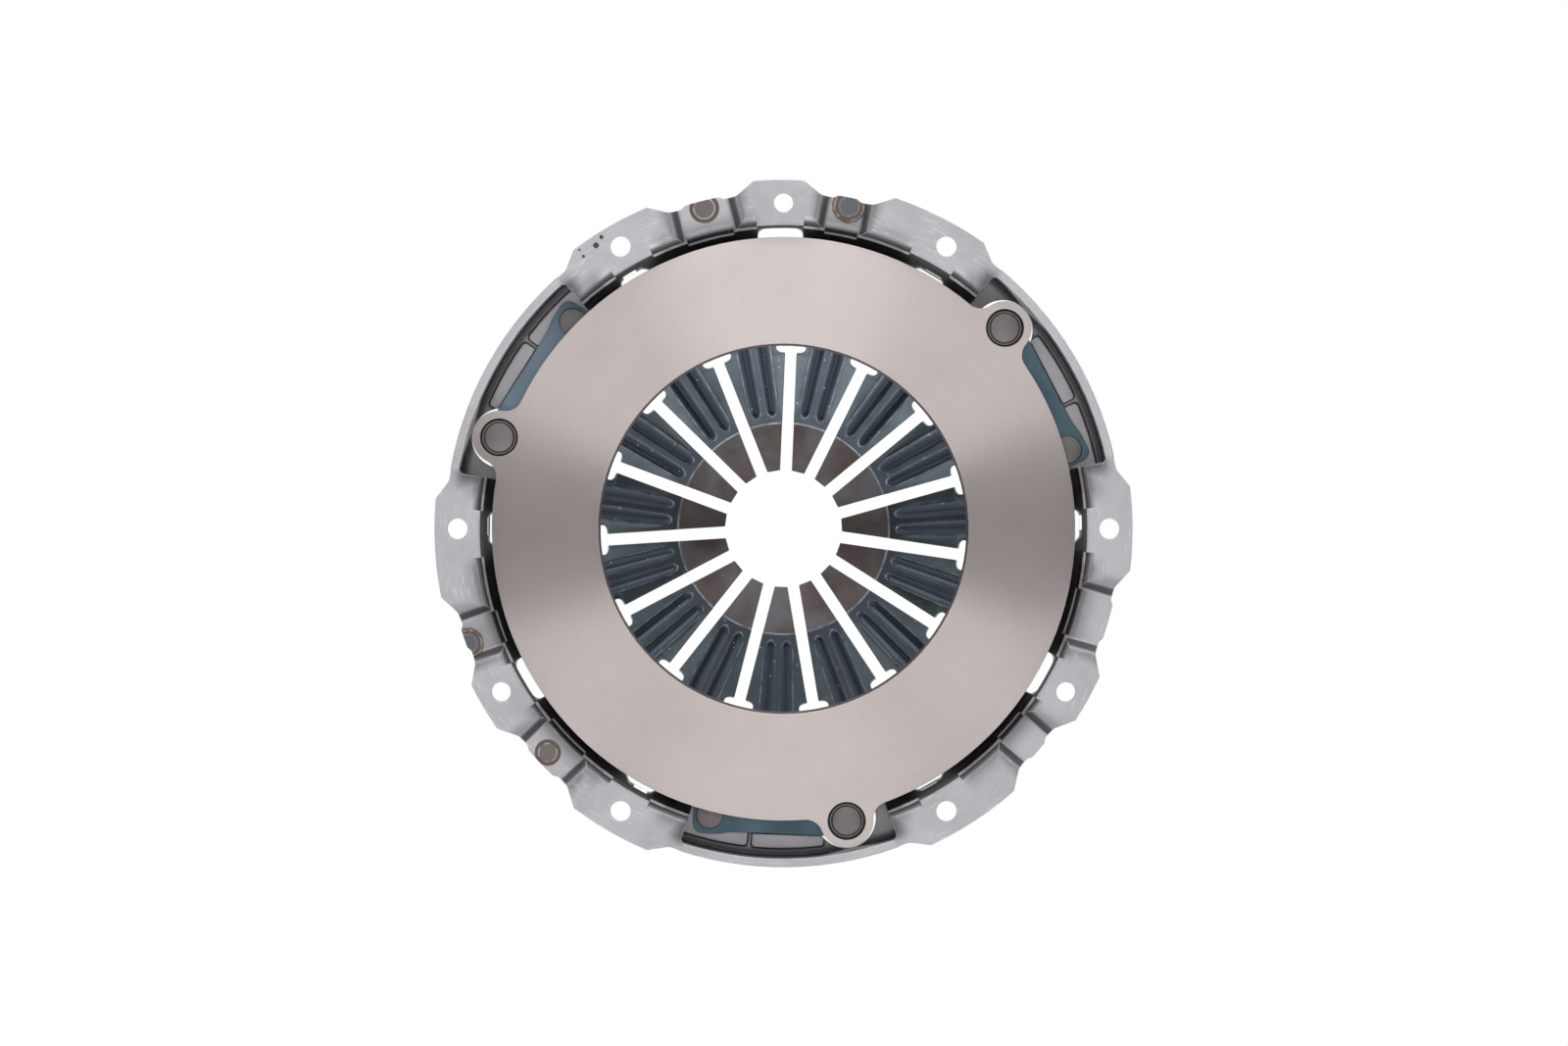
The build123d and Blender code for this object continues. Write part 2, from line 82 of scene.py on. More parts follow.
class Value:
    def __init__(self, tree, socket):
        self.tree, self.socket = tree, socket

    def math(self, operation, *others):
        node = self.tree.nodes.new("ShaderNodeMath")
        node.operation = operation
        for socket, item in zip(node.inputs, (self, *others)):
            feed(self.tree, item, socket)
        return Value(self.tree, node.outputs[0])

    __add__ = __radd__ = math_method("ADD")
    __mul__ = __rmul__ = math_method("MULTIPLY")
    __sub__ = math_method("SUBTRACT")
    __truediv__ = math_method("DIVIDE")
    root = math_method("SQRT")
    abs = math_method("ABSOLUTE")
    min = math_method("MINIMUM")
    max = math_method("MAXIMUM")
    sin = math_method("SINE")
    cos = math_method("COSINE")
    arctan2 = math_method("ARCTAN2")
    less_than = math_method("LESS_THAN")
    wrap = math_method("WRAP")      # takes the upper end first

    def __rsub__(self, other):
        return self * -1.0 + other

    def clamp(self):
        return self.max(0.0).min(1.0)

    def ramp(self, low, high):
        """0 below low, 1 above high, smooth between."""
        node = self.tree.nodes.new("ShaderNodeMapRange")
        node.interpolation_type = "SMOOTHSTEP"
        for name, item in (("Value", self), ("From Min", low), ("From Max", high)):
            feed(self.tree, item, node.inputs[name])
        return Value(self.tree, node.outputs["Result"])


def feed(tree, item, socket):
    """Link a Value or an output to a socket, or set a plain number or colour on it."""
    if isinstance(item, Value):
        tree.links.new(item.socket, socket)
    elif isinstance(item, bpy.types.NodeSocket):
        tree.links.new(item, socket)
    else:
        socket.default_value = item


print("a Value knows:", ", ".join(name for name in vars(Value) if not name.startswith("_")))

# %% [markdown]
# ## Shared surface effects
# Pressed steel, ground iron and spring steel look different, but all of them have grain, worn edges
# or small specks. Each effect could be copied into every material. It is a shader node group
# instead: built once, with named inputs, and placed in each material with its own values.

# %% Helpers for the effects
FLOAT, VECTOR = "NodeSocketFloat", "NodeSocketVector"


def add_socket(tree, name, kind, direction="INPUT", default=None):
    item = tree.interface.new_socket(name=name, in_out=direction, socket_type=kind)
    if default is not None:
        item.default_value = default


def new_group(name, inputs, outputs):
    """A shader group that reads a place, with its other inputs and its outputs."""
    tree = bpy.data.node_groups.new(name, "ShaderNodeTree")
    add_socket(tree, "Vector", VECTOR)
    for label, default in inputs.items():
        add_socket(tree, label, FLOAT, default=default)
    for label, kind in outputs.items():
        add_socket(tree, label, kind, "OUTPUT")
    return tree, tree.nodes.new("NodeGroupInput").outputs, tree.nodes.new("NodeGroupOutput").inputs


def noise(tree, vector, scale, detail=3.0, rough=0.5, seed=0.0):
    node = tree.nodes.new("ShaderNodeTexNoise")
    node.noise_dimensions = "4D"
    settings = {"Vector": vector, "W": seed, "Scale": scale, "Detail": detail, "Roughness": rough}
    for name, item in settings.items():
        feed(tree, item, node.inputs[name])
    return Value(tree, node.outputs["Fac"])


print("the noise has four dimensions, and the fourth is its seed")

# %% [markdown]
# ### Grain
# Bare metal is never one even tone: its crystals show as fine grain, and oil and handling leave
# slow clouds. A picture of metal would repeat and would need a UV map on every piece. Two noises
# need neither, and the recipes below use them for colour, roughness and bump.

# %% Metal grain
def build_grain():
    tree, given, out = new_group("Metal grain", {"Scale": 1.0}, {"Fine": FLOAT, "Cloud": FLOAT})
    scale = Value(tree, given["Scale"])
    feed(tree, noise(tree, given["Vector"], scale * 2200, 4, 0.65, 1.3), out["Fine"])
    feed(tree, noise(tree, given["Vector"], scale * 42, 4, 0.6, 7.1), out["Cloud"])
    return tree


GROUPS = {"grain": build_grain()}
print("effect:", GROUPS["grain"].name)

# %% [markdown]
# ### Worn edges
# Handling rubs the edges of a steel part bright. Bright edges could be painted on, or found from
# the mesh while shading. The Bevel node finds them: where its rounded normal leaves the true one,
# there is an edge. The same normal also rounds the edge a little, with no extra faces.

# %% Edge wear
def build_edge_wear():
    tree, given, out = new_group("Edge wear", {"Radius": 0.0006}, {"Mask": FLOAT, "Normal": VECTOR})
    bevel = tree.nodes.new("ShaderNodeBevel")
    bevel.samples = 6
    feed(tree, given["Radius"], bevel.inputs["Radius"])
    geometry = tree.nodes.new("ShaderNodeNewGeometry")
    dot = tree.nodes.new("ShaderNodeVectorMath")
    dot.operation = "DOT_PRODUCT"
    feed(tree, bevel.outputs["Normal"], dot.inputs[0])
    feed(tree, geometry.outputs["Normal"], dot.inputs[1])
    turned_away = 1.0 - Value(tree, dot.outputs["Value"])
    patchy = noise(tree, given["Vector"], 380, 4, 0.6, 3.3).ramp(0.3, 0.62)
    feed(tree, turned_away.ramp(0.01, 0.16) * (patchy * 0.6 + 0.4), out["Mask"])
    feed(tree, bevel.outputs["Normal"], out["Normal"])
    return tree


GROUPS["wear"] = build_edge_wear()
print("effect:", GROUPS["wear"].name)

# %% [markdown]
# ### Specks
# Cast iron has pores, and on the dark steel small bright specks are painted as glints. A noise
# gives clouds, not dots. A Voronoi texture gives one cell for each dot, and the random colour of the
# cell decides whether it has one.

# %% Specks
def build_specks():
    tree, given, out = new_group("Specks", {"Scale": 600.0, "Amount": 0.1}, {"Mask": FLOAT})
    cells = tree.nodes.new("ShaderNodeTexVoronoi")
    feed(tree, given["Vector"], cells.inputs["Vector"])
    feed(tree, given["Scale"], cells.inputs["Scale"])
    lot = tree.nodes.new("ShaderNodeSeparateColor")
    feed(tree, cells.outputs["Color"], lot.inputs["Color"])
    chosen = Value(tree, lot.outputs["Red"]).less_than(given["Amount"])
    dot = 1.0 - Value(tree, cells.outputs["Distance"]).ramp(0.08, 0.3)
    feed(tree, chosen * dot, out["Mask"])
    return tree


GROUPS["specks"] = build_specks()
print("effect:", GROUPS["specks"].name)

# %% [markdown]
# ### Round the clutch axis
# Nearly every mark on a clutch runs round its axis or lies at a set radius. This group turns a
# place into a radius, an angle and a depth, which is simpler than a UV map for each piece.

# %% Clutch axis coordinates
def build_axis():
    outputs = {"Radius": FLOAT, "Angle": FLOAT, "Depth": FLOAT}
    tree, given, out = new_group("Clutch axis", {}, outputs)
    split = tree.nodes.new("ShaderNodeSeparateXYZ")
    feed(tree, given["Vector"], split.inputs[0])
    x, y, z = (Value(tree, socket) for socket in split.outputs)
    feed(tree, (x * x + z * z).root() * 1000.0, out["Radius"])
    feed(tree, z.arctan2(x) * (180 / pi), out["Angle"])
    feed(tree, y * 1000.0, out["Depth"])
    return tree


GROUPS["axis"] = build_axis()
print("effect:", GROUPS["axis"].name)

# It reads Object coordinates, because every piece sits at the origin with its place in its mesh.

class Surface:
    """A material being built, with the shared effects at hand."""

    def __init__(self, name):
        self.material = bpy.data.materials.new(name)
        self.material.use_nodes = True
        self.tree = self.material.node_tree
        self.shader = self.tree.nodes["Principled BSDF"]
        self.shader.inputs["Metallic"].default_value = 1.0
        self.place = self.tree.nodes.new("ShaderNodeTexCoord").outputs["Object"]
        axis = self.use("axis")
        self.radius = self.read(axis, "Radius")
        self.angle = self.read(axis, "Angle")
        self.depth = self.read(axis, "Depth")

    def use(self, key, **inputs):
        """Place a shared effect."""
        node = self.tree.nodes.new("ShaderNodeGroup")
        node.node_tree = GROUPS[key]
        for name, item in {"Vector": self.place, **inputs}.items():
            feed(self.tree, item, node.inputs[name])
        return node

    def read(self, node, output):
        return Value(self.tree, node.outputs[output])

    def grain(self):
        """The fine and the cloudy grain."""
        node = self.use("grain")
        return self.read(node, "Fine"), self.read(node, "Cloud")

    def edge_wear(self, radius):
        """The mask of worn edges, and a normal that rounds them."""
        node = self.use("wear", Radius=radius)
        return self.read(node, "Mask"), node.outputs["Normal"]

    def specks(self, scale, amount):
        return self.read(self.use("specks", Scale=scale, Amount=amount), "Mask")

    def noise(self, scale, detail=3.0, rough=0.5, seed=0.0):
        return noise(self.tree, self.place, scale, detail, rough, seed)

    def mix(self, a, b, factor):
        node = self.tree.nodes.new("ShaderNodeMix")
        node.data_type = "RGBA"
        for item, socket in ((a, node.inputs[6]), (b, node.inputs[7])):
            feed(self.tree, (*item, 1) if isinstance(item, tuple) else item, socket)
        feed(self.tree, factor, node.inputs[0])
        return node.outputs[2]

    def bump(self, height, strength, distance, normal=None):
        node = self.tree.nodes.new("ShaderNodeBump")
        node.inputs["Strength"].default_value = strength
        node.inputs["Distance"].default_value = distance
        feed(self.tree, height, node.inputs["Height"])
        if normal is not None:
            feed(self.tree, normal, node.inputs["Normal"])
        return node.outputs["Normal"]

    def finish(self, color, roughness, normal):
        for name, item in (("Base Color", color), ("Roughness", roughness), ("Normal", normal)):
            feed(self.tree, item, self.shader.inputs[name])
        return self.material


print("the kit offers:", ", ".join(name for name in vars(Surface) if not name.startswith("_")))

# %% [markdown]
# ## Pressed cover steel
# The cover is one sheet of steel, pressed into pads, recesses and pockets. Where it bends, it turns
# away from the light, so it looks darker there. Rounder bends in the mesh would show that only from
# some sides. The darkening is painted shade in the finish instead, as a rule on radius, angle and
# depth for each bend, so it holds from every side and adds no faces.

# %% Where the cover is bent
DOWEL, HALF_THIRD = 90, 60                  # a dowel hole, and half of the third that repeats
RECESSES = ((-11.0, 3.7), (14.0, 5.35))     # middle from the dowel hole and half width of a recess
BOLT, BOLT_WINDOW, DOWEL_WINDOW = 30.0, 4.5, 3.7    # bolt from dowel, and half a window at each
POCKET, POCKET_HALF = 31.0, 19.2            # middle of the first strap pocket, and half its mouth


def towards_flywheel(s):
    """1 where the surface faces the flywheel, 0 on walls, -1 on the back."""
    node = s.tree.nodes.new("ShaderNodeSeparateXYZ")
    feed(s.tree, s.tree.nodes.new("ShaderNodeTexCoord").outputs["Normal"], node.inputs[0])
    return s.read(node, "Y") * -1.0


def painted_bend_shade(s, front):
    """Painted shade: dark on slopes, at the feet of recesses, beside windows, in folds and in corners."""
    facing = towards_flywheel(s)
    shade = (1.0 - facing.ramp(0.72, 0.985)) * facing.ramp(0.02, 0.3) * 0.82
    shade = shade.max((1.0 - s.radius.ramp(124.0, 127.2)) * front * 0.6)
    turned = (s.angle - DOWEL).wrap(HALF_THIRD, -HALF_THIRD)
    for middle, half in RECESSES:
        beside = (turned - middle).abs() - half
        foot = (1.0 - (beside - 1.0).abs().ramp(0.0, 2.1)) * 0.42
        shade = shade.max(foot * front)
    window = (turned.abs() - DOWEL_WINDOW).min((turned.abs() - BOLT).abs() - BOLT_WINDOW)
    roll = (1.0 - s.radius.ramp(121.0, 136.0)) * window.ramp(0.0, 3.0) * 0.97
    to_pocket = (s.angle - POCKET).wrap(HALF_THIRD, -HALF_THIRD).abs() - POCKET_HALF
    fold = (1.0 - to_pocket.ramp(0.0, 3.8)) * (1.0 - s.radius.ramp(134.0, 139.0) * 0.85) * 0.8
    fold = fold * to_pocket.ramp(-1.0, 0.0)
    corner = s.radius.ramp(132.5, 136.0) * (1.0 - s.radius.ramp(137.6, 138.6)) * s.depth.ramp(6.0, 10.0)
    return shade.max(roll.max(fold) * front).max(corner * 0.85)


print("bends:", len(RECESSES), "recesses and one pocket in each third of the cover")

# %% [markdown]
# ### Heat marks and pits
# Two recesses carry a heat mark: a blue-grey middle, a brown ring with a light line in it, and soot
# round it. Small pits lie on one of the pads. Both could be decals. Rings of distance, with some
# noise on the distance, give the same broken outlines and stay sharp at any resolution.

# %% Heat marks and pits
HEAT_MARKS = ((78.5, 136.6, 7.0), (200.0, 139.4, 6.6))      # angle, radius and reach
SOOT_REACH = 12.0
PITS = ((140.6, 123.5, 1.3), (142.3, 122.0, 0.9), (143.0, 126.2, 0.5), (139.9, 126.3, 0.7))


def from_spot(s, r, angle, reach):
    """Distance along the flange from a place: 0 there, and 1 at reach millimetres from it."""
    spot = polar(r, angle)
    node = s.tree.nodes.new("ShaderNodeSeparateXYZ")
    feed(s.tree, s.place, node.inputs[0])
    dx = s.read(node, "X") - spot.x
    dz = s.read(node, "Z") - spot.z
    return (dx * dx + dz * dz).root() * (1000.0 / reach)


def heat_mark(s, base, front, angle, r, reach):
    out = from_spot(s, r, angle, reach) + (s.noise(420, 3, 0.6, angle) - 0.5) * 0.22
    soot = from_spot(s, r, angle, SOOT_REACH) + (s.noise(160, 4, 0.6, angle + 5) - 0.5) * 0.8
    ring = out.ramp(0.56, 0.68) * (1.0 - out.ramp(0.96, 1.06))
    line = (1.0 - (out - 0.86).abs().ramp(0.02, 0.09)) * s.noise(300, 3, 0.5, angle).ramp(0.42, 0.55)
    base = s.mix(base, (0.27, 0.255, 0.25), (1.0 - soot.ramp(0.35, 1.15)) * 0.5 * front)
    base = s.mix(base, (0.11, 0.135, 0.16), (1.0 - out.ramp(0.5, 0.68)) * 0.8)
    base = s.mix(base, (0.13, 0.085, 0.065), ring * 0.85)
    return s.mix(base, (0.55, 0.47, 0.43), line * 0.7)


def pit(s, base, r, angle, reach):
    edge = from_spot(s, r, angle, reach) + (s.noise(900, 3, 0.6, angle) - 0.5) * 0.7
    return s.mix(base, (0.045, 0.04, 0.045), (1.0 - edge.ramp(0.75, 1.15)) * 0.9)


print("heat marks:", len(HEAT_MARKS), "pits:", len(PITS))

# %% [markdown]
# ### Streaks and lines
# Rolling leaves long streaks in a sheet, and handling and grinding leave lines round the axis. They
# could be modelled as grooves, but they are thinner than any useful face. A noise that is pressed
# together in one direction draws them: in Z for the streaks, along the radius for the lines.

# %% Streaks and ring lines
def long_streaks(s, seed):
    node = s.tree.nodes.new("ShaderNodeMapping")
    node.inputs["Scale"].default_value = (60, 60, 900)
    feed(s.tree, s.place, node.inputs["Vector"])
    return noise(s.tree, node.outputs[0], 1.0, 4, 0.6, seed)


def ring_lines(s, scale, seed, broken=0.012):
    """Fine lines that run round the axis; more broken ones are shorter."""
    node = s.tree.nodes.new("ShaderNodeCombineXYZ")
    feed(s.tree, s.radius * scale, node.inputs[0])
    feed(s.tree, s.angle * broken, node.inputs[1])
    feed(s.tree, s.depth * scale, node.inputs[2])
    return noise(s.tree, node.outputs[0], 1.0, 3, 0.7, seed)


print("streaks run straight, ring lines run round the axis")

# %% [markdown]
# ### The cover's layers
# The colour goes on in layers: bright steel, duller and darker deeper in and on walls and back,
# partly as painted shade, cloudy oil, the painted shade of the bends, then short scratches and
# scuffs, rubbed edges, and the heat marks.

# %% Cover finish
FRONT_TO, BACK_FROM = 8.0, 13.0     # depths between which the marks of the front fade out


def cover_steel():
    s = Surface("Pressed cover steel")
    fine, cloud = s.grain()
    worn, rounded = s.edge_wear(0.0007)
    front = 1.0 - s.depth.ramp(FRONT_TO, BACK_FROM)
    shade = painted_bend_shade(s, front)
    scratch = ring_lines(s, 1.5, 5.4, 0.28).ramp(0.56, 0.64) * s.noise(70, 3, 0.6, 3.3).ramp(0.42, 0.56)
    scuff = s.noise(1100, 5, 0.7, 6.1).ramp(0.56, 0.62) * s.noise(95, 3, 0.5, 9.4).ramp(0.56, 0.66)
    # Deeper in, on walls and on the back the steel is duller and darker: partly a duller finish, partly
    # painted shade.
    base = s.mix((0.60, 0.59, 0.61), (0.65, 0.64, 0.675), front * 0.85 + cloud * 0.15)
    base = s.mix(base, (0.46, 0.445, 0.46), cloud.ramp(0.38, 0.75) * 0.45)
    base = s.mix((0.44, 0.43, 0.445), base, towards_flywheel(s).ramp(-0.1, 0.3))
    # painted shade at the bends, in folds and in corners
    base = s.mix(base, (0.065, 0.06, 0.067), shade)
    base = s.mix(base, (0.93, 0.92, 0.94), (scratch * 0.6).max(scuff * 0.35) * front * (1.0 - shade))
    base = s.mix(base, (0.80, 0.79, 0.82), worn * 0.75)
    for angle, r, reach in HEAT_MARKS:
        base = heat_mark(s, base, front, angle, r, reach)
    for r, angle, reach in PITS:
        base = pit(s, base, r, angle, reach)
    rough = fine * 0.16 + cloud * 0.14 + 0.32 + (1.0 - front) * 0.08
    normal = s.bump(fine * 0.6 + long_streaks(s, 2.2) * 0.4, 0.12, 0.0004, rounded)
    return s.finish(base, rough, normal)


STEEL = {"cover_steel": cover_steel()}
print("finish:", STEEL["cover_steel"].name)

# %% [markdown]
# ## Ground friction face
# The pressure plate is cast iron. Its face is ground as it turns, which leaves very fine rings, and
# the rest stays dark and rough. The rings are too fine to model. Anisotropy stretches each
# highlight across them instead, which makes the bright and dark wedges of a turned disc. It is set
# up in the material itself, not in a group, and it is a plain number where it is the same all over.
# Only the fingers link it, as theirs ends at the tips, and an export drops an anisotropy that comes
# through a link. A noise along the radius adds the few rings that can be seen.

# %% Plate finish
FACE_DEPTH, FACE_FADE = 5.05, 0.25      # ground in front of this depth, cast behind it


def brushed(s, fade=None):
    """Marks run round the axis, so a highlight spreads along the radius; fade is where they end."""
    split = s.tree.nodes.new("ShaderNodeSeparateXYZ")
    feed(s.tree, s.place, split.inputs[0])
    x, z = s.read(split, "X"), s.read(split, "Z")
    radius = (x * x + z * z).root()
    around = s.tree.nodes.new("ShaderNodeCombineXYZ")
    feed(s.tree, z * -1.0 / radius.max(1e-6), around.inputs[0])
    feed(s.tree, x / radius.max(1e-6), around.inputs[2])
    feed(s.tree, around.outputs[0], s.shader.inputs["Tangent"])
    amount = 1.0 - (radius * 1000.0).ramp(*fade) if fade else 1.0
    feed(s.tree, amount, s.shader.inputs["Anisotropic"])
    s.shader.inputs["Anisotropic Rotation"].default_value = 0.25


def ground_iron():
    s = Surface("Ground iron face")
    fine, cloud = s.grain()
    worn, rounded = s.edge_wear(0.0004)
    lines, coarse = ring_lines(s, 9.0, 3.0), ring_lines(s, 1.4, 9.0)
    ground = 1.0 - s.depth.ramp(FACE_DEPTH, FACE_DEPTH + FACE_FADE)
    base = s.mix((0.645, 0.575, 0.56), (0.755, 0.68, 0.665), lines * 0.6 + coarse * 0.4)
    base = s.mix(base, (0.60, 0.535, 0.52), cloud.ramp(0.4, 0.75) * 0.3)
    base = s.mix(base, (0.30, 0.26, 0.25), s.specks(700.0, 0.05) * 0.35)
    cast = s.mix((0.10, 0.095, 0.095), (0.19, 0.18, 0.18), cloud)
    base = s.mix(cast, base, ground)
    base = s.mix(base, (0.72, 0.69, 0.67), worn * 0.5)
    brushed(s)
    normal = s.bump(lines * 0.5 + fine * 0.5, 0.06, 0.0002, rounded)
    return s.finish(base, ground * -0.22 + 0.56 + lines * 0.08, normal)


STEEL["plate_iron"] = ground_iron()
print("finish:", STEEL["plate_iron"].name)

# %% [markdown]
# ## Dark spring steel
# The spring is hardened and tempered, which leaves it blue-black. Each finger has two grooves,
# painted darker inside as shade, with painted highlights along their edges, and a brown, heat-tinted
# tip with a bright line at its bend, partly painted highlight and partly wear. Painted sheen lies on
# the flanks. These marks have to lie on the edges of the mesh. They could be painted on each finger.
# Here the finish and the mesh use the same sizes, so that the marks fit fifteen fingers at once.
# `off` is the distance from a finger's middle line in a scale that widens with the radius, as a
# groove does.

# %% Sizes of a finger
FINGERS, FIRST_FINGER = 15, 3.6
PITCH = 360 / FINGERS
TIP_BEND = 44.6
TIP_FADE = TIP_BEND - 0.5, TIP_BEND + 0.3       # radii between which the tip's finish ends
RIB, GROOVE_FLOOR, GROOVE_WALL, GROOVE_OUT = 1.3, 3.6, 3.9, 6.9     # steps across half a finger
GROOVE_MIDDLE, GROOVE_HALF, GROOVE_END = 4.0, 2.7, 47.5             # the groove's rounded inner end


def across_finger(side, r):
    """Distance from a finger's middle line, in the scale of its grooves."""
    return side.abs() / (r * 0.006 + 0.55)


def groove_end(off, middle_end):
    """The radius where a groove ends: an arc whose innermost point is at middle_end."""
    aside = (off - GROOVE_MIDDLE) / GROOVE_HALF
    return aside * aside * 2.6 + middle_end


print("fingers:", FINGERS, "each", PITCH, "degrees")

# %% Painted highlights on a finger
def finger_highlights(s, off, end):
    """Painted highlights along the grooves' outer edges, round their ends and beside the middle rib."""
    past_end = s.radius - end
    side = (1.0 - (off - GROOVE_OUT - 0.2).abs().ramp(0.0, 0.55)) * past_end.ramp(-0.5, 1.0)
    arc = (1.0 - (past_end - 0.1).abs().ramp(0.15, 0.6)) * (1.0 - off.ramp(5.6, 6.4)) * off.ramp(1.0, 1.6)
    rib = (1.0 - (off - RIB).abs().ramp(0.08, 0.32)) * past_end.ramp(0.0, 1.2)
    return (side * 0.7).max(arc * 0.8).max(rib * 0.3)


print("lines at", RIB, "and", GROOVE_OUT, "across a finger")

# %% Spring finish
def spring_steel():
    s = Surface("Dark spring steel")
    fine, cloud = s.grain()
    worn, rounded = s.edge_wear(0.0004)
    patchy = s.noise(210, 3, 0.6, 2.6).ramp(0.36, 0.6)
    turned = (s.angle - FIRST_FINGER).wrap(PITCH / 2, -PITCH / 2) * (pi / 180)
    off = across_finger(s.radius * turned.sin(), s.radius)
    end = groove_end(off, GROOVE_END)

    # painted shade: the grooves are painted darker inside
    groove_shade = off.ramp(RIB - 0.2, GROOVE_FLOOR) * (1.0 - off.ramp(GROOVE_WALL, GROOVE_OUT))
    groove_shade = groove_shade * (s.radius - end).ramp(0.0, 1.5)
    flank = off.ramp(GROOVE_OUT, GROOVE_OUT + 1.5) * s.radius.ramp(47.0, 54.0)
    # the flanks get a lighter teal tint, with patches of painted sheen on it
    painted_sheen = s.noise(38, 2, 0.5, 6.6).ramp(0.36, 0.62)
    body = s.mix((0.062, 0.075, 0.092), (0.105, 0.122, 0.145), s.noise(130, 3, 0.5, 4.0))
    body = s.mix(body, (0.095, 0.13, 0.142), flank * (patchy * 0.45 + 0.3))
    body = s.mix(body, (0.22, 0.255, 0.28), flank * painted_sheen * 0.35)
    # the painted shade in the grooves
    body = s.mix(body, (0.042, 0.054, 0.078), groove_shade * 0.85)

    tip = 1.0 - s.radius.ramp(*TIP_FADE)
    heat = s.noise(95, 3, 0.5, 8.0).ramp(0.35, 0.7)
    tint = s.mix((0.22, 0.185, 0.18), (0.165, 0.128, 0.127), heat)
    tint = s.mix(tint, (0.25, 0.245, 0.27), s.noise(60, 2, 0.5, 1.0).ramp(0.4, 0.7))
    base = s.mix(body, tint, tip)

    # painted highlights along the groove edges, round their ends and beside the rib
    lines = finger_highlights(s, off, end) * (patchy * 0.85 + 0.15)
    # a bright line at the tip's bend: partly painted highlight, partly wear
    bend_highlight_and_wear = 1.0 - (s.radius - TIP_BEND - 0.25).abs().ramp(0.12, 0.5)
    base = s.mix(base, (0.46, 0.51, 0.55), lines * 0.55)
    base = s.mix(base, (0.42, 0.50, 0.53), bend_highlight_and_wear * (patchy * 0.7 + 0.3) * 0.75)
    # painted glints: small bright specks away from the tips
    base = s.mix(base, (0.62, 0.66, 0.68), s.specks(520.0, 0.035) * (1.0 - tip) * 0.5)
    base = s.mix(base, (0.42, 0.46, 0.50), worn * 0.5)
    brushed(s, TIP_FADE)
    rough = fine * 0.1 + 0.21 + tip * 0.2 + cloud * 0.07
    return s.finish(base, rough, s.bump(fine, 0.08, 0.0002, rounded))


STEEL["spring_steel"] = spring_steel()
print("finish:", STEEL["spring_steel"].name)

# %% [markdown]
# ## Blued straps
# The drive straps are thin spring steel, tempered blue. The blue could be paint over the steel, but
# on the real strap it is a film that only tints the metal. So the material stays fully metallic and
# its colour turns blue. One strap is paler than the others.

# %% Strap finish
PALE_STRAP, PALE_REACH = (122, 151), 40.0       # radius and angle, and how far it reaches


def blued_strap():
    s = Surface("Blued strap steel")
    fine, cloud = s.grain()
    worn, rounded = s.edge_wear(0.0003)
    pale = 1.0 - from_spot(s, *PALE_STRAP, PALE_REACH).ramp(0.4, 1.0)
    base = s.mix((0.075, 0.125, 0.155), (0.11, 0.175, 0.21), cloud.ramp(0.3, 0.7))
    base = s.mix(base, (0.21, 0.27, 0.33), pale * 0.8)
    base = s.mix(base, (0.35, 0.38, 0.40), worn * 0.4)
    return s.finish(base, fine * 0.12 + 0.30, s.bump(fine, 0.06, 0.0002, rounded))


STEEL["strap_steel"] = blued_strap()
print("finish:", STEEL["strap_steel"].name)

# %% [markdown]
# ## Rivets
# Rivets are closed cold under a press and stay dull. They could share the cover's finish, but they
# would then disappear into it, so they have a darker one with a rougher bump.

# %% Rivet finish
def rivet_steel():
    s = Surface("Upset rivet steel")
    fine, cloud = s.grain()
    worn, rounded = s.edge_wear(0.0005)
    base = s.mix((0.20, 0.185, 0.185), (0.29, 0.272, 0.272), cloud)
    base = s.mix(base, (0.55, 0.54, 0.55), worn * 0.6)
    return s.finish(base, fine * 0.2 + 0.34, s.bump(fine, 0.15, 0.0003, rounded))


STEEL["rivet_steel"] = rivet_steel()
print("finish:", STEEL["rivet_steel"].name)

# %% [markdown]
# ### Flush balancing rivets
# A clutch is balanced with rivets set flush in the flange. Two of them are tinted brown, with a
# painted highlight arc inside the edge. They could have a material each. One material serves all of
# them, as it knows where the two lie, and the arc is a ring of distance again, broken up by noise.

# %% Flush rivet finish
TINTED = ((103.9, 137.0, 6.2), (223.5, 134.9, 5.45))    # angle, radius and reach


def tinted_rivet():
    s = Surface("Heat-tinted flush rivet")
    fine, cloud = s.grain()
    worn, rounded = s.edge_wear(0.0004)
    base = s.mix((0.27, 0.26, 0.275), (0.40, 0.385, 0.395), cloud)
    for angle, r, reach in TINTED:
        out = from_spot(s, r, angle, reach)
        here = 1.0 - out.ramp(1.2, 1.3)
        warm = (out.ramp(0.66, 0.74) * 0.35 + 0.65) * here
        base = s.mix(base, (0.15, 0.105, 0.085), warm * 0.85)
        # painted highlight: a light arc inside the rim of each tinted rivet
        arc = (1.0 - (out - 0.7).abs().ramp(0.02, 0.06)) * s.noise(260, 3, 0.5, angle).ramp(0.4, 0.55)
        base = s.mix(base, (0.66, 0.65, 0.66), arc * 0.8)
    base = s.mix(base, (0.6, 0.59, 0.6), worn * 0.5)
    return s.finish(base, fine * 0.2 + 0.32, s.bump(fine, 0.12, 0.0003, rounded))


FLUSH_RIVET = tinted_rivet()
print("finish:", FLUSH_RIVET.name)

# %% [markdown] ## Wire rings The rings on which the spring rocks are drawn wire.

# %% Wire finish
def wire_steel():
    s = Surface("Drawn wire steel")
    fine = s.grain()[0]
    base = s.mix((0.30, 0.30, 0.31), (0.42, 0.42, 0.43), ring_lines(s, 5.0, 1.0))
    return s.finish(base, fine * 0.15 + 0.25, s.bump(fine, 0.1, 0.0002))


STEEL["ring_steel"] = wire_steel()
print("finish:", STEEL["ring_steel"].name)

# %% [markdown]
# ## Finishes on the CAD nodes
# The cover, the plate and the rings keep their CAD meshes. A list of nodes and finishes could be
# written here, but the packed record already says which metal each node is made of.

